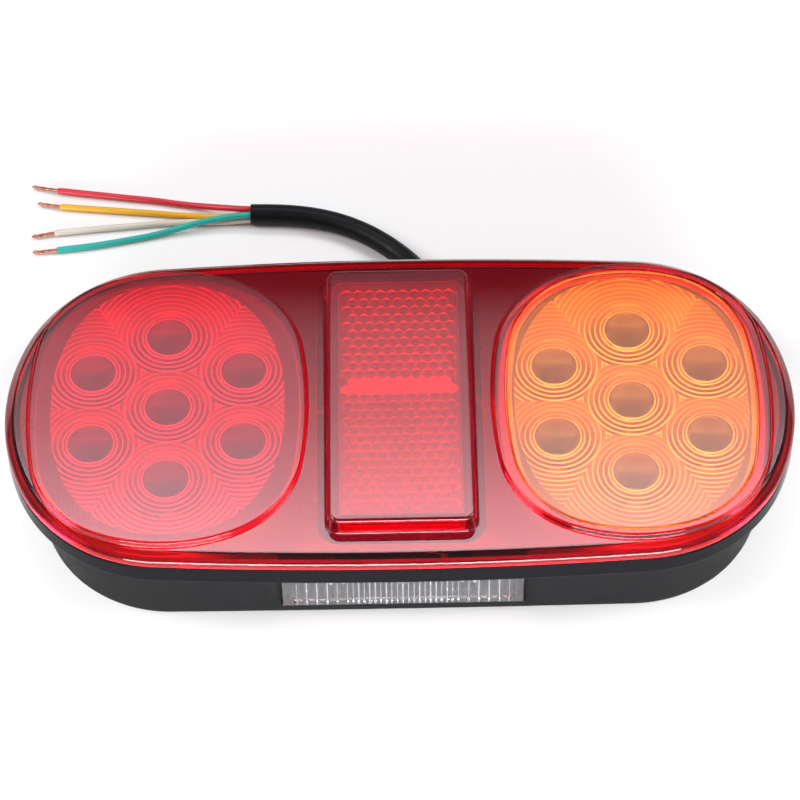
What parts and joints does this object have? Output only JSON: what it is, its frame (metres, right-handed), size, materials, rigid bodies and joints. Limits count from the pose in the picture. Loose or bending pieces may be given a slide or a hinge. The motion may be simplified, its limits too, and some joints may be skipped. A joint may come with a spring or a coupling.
{
  "type": "trailer tail light",
  "caption": "Long rounded rear lamp for a trailer: a red and an amber LED window, a middle reflex reflector, a number-plate light in one side and a short wire lead.",
  "frame": {"origin": "middle of the flat back face, which is the lowest plane when the lamp lies face up; the free lead isn't counted", "axes": "+X along the lamp towards the amber window, +Z out of the lenses, -Y towards the number-plate lamp"},
  "size_m": [0.2016, 0.148, 0.0362],
  "materials": {
    "black_abs": "satin moulded ABS",
    "red_acrylic": "polished see-through red acrylic",
    "amber_acrylic": "polished see-through amber acrylic",
    "clear_acrylic": "clear fluted acrylic",
    "dark_red_plastic": "moulded, matt",
    "metallised_plastic": "vacuum metallised, slightly soft",
    "circuit_board": "solder mask over glass fibre",
    "led_resin": "water-clear epoxy",
    "resistor_coating": "lacquered",
    "screw_steel": "zinc plated",
    "brass": "turned brass",
    "rubber_seal": "matt",
    "cable_rubber": "satin black",
    "nylon": "natural nylon",
    "wire_red_pvc": "smooth PVC",
    "wire_yellow_pvc": "smooth PVC",
    "wire_white_pvc": "smooth PVC",
    "wire_green_pvc": "smooth PVC",
    "copper_strand": "bare twisted copper"
  },
  "bodies": {
    "root": {"rear_housing": "black_abs", "red_lens_cover": "red_acrylic", "amber_lens_insert": "amber_acrylic", "lens_seal": "rubber_seal", "reflex_prism_plate": "red_acrylic", "reflex_backing_cap": "dark_red_plastic", "plate_lamp_lens": "clear_acrylic", "plate_lamp_board": "circuit_board", "cable_grommet": "cable_rubber", "cable_tie": "nylon", "cable_sheath": "cable_rubber", "left_reflector_tray": "metallised_plastic", "left_led_board": "circuit_board", "left_threaded_insert": "brass", "left_board_screw_1": "screw_steel", "left_resistor_1": "resistor_coating", "left_board_screw_2": "screw_steel", "left_resistor_2": "resistor_coating", "right_reflector_tray": "metallised_plastic", "right_led_board": "circuit_board", "right_threaded_insert": "brass", "right_board_screw_1": "screw_steel", "right_resistor_1": "resistor_coating", "right_board_screw_2": "screw_steel", "right_resistor_2": "resistor_coating", "left_led_1": "led_resin", "left_led_2": "led_resin", "left_led_3": "led_resin", "left_led_4": "led_resin", "left_led_5": "led_resin", "left_led_6": "led_resin", "left_led_7": "led_resin", "right_led_1": "led_resin", "right_led_2": "led_resin", "right_led_3": "led_resin", "right_led_4": "led_resin", "right_led_5": "led_resin", "right_led_6": "led_resin", "right_led_7": "led_resin", "plate_led_1": "led_resin", "plate_led_2": "led_resin", "plate_led_3": "led_resin", "wire_red": "wire_red_pvc", "inner_wire_red": "wire_red_pvc", "copper_end_red": "copper_strand", "wire_yellow": "wire_yellow_pvc", "inner_wire_yellow": "wire_yellow_pvc", "copper_end_yellow": "copper_strand", "wire_white": "wire_white_pvc", "inner_wire_white": "wire_white_pvc", "copper_end_white": "copper_strand", "wire_green": "wire_green_pvc", "inner_wire_green": "wire_green_pvc", "copper_end_green": "copper_strand"}
  },
  "joints": []
}
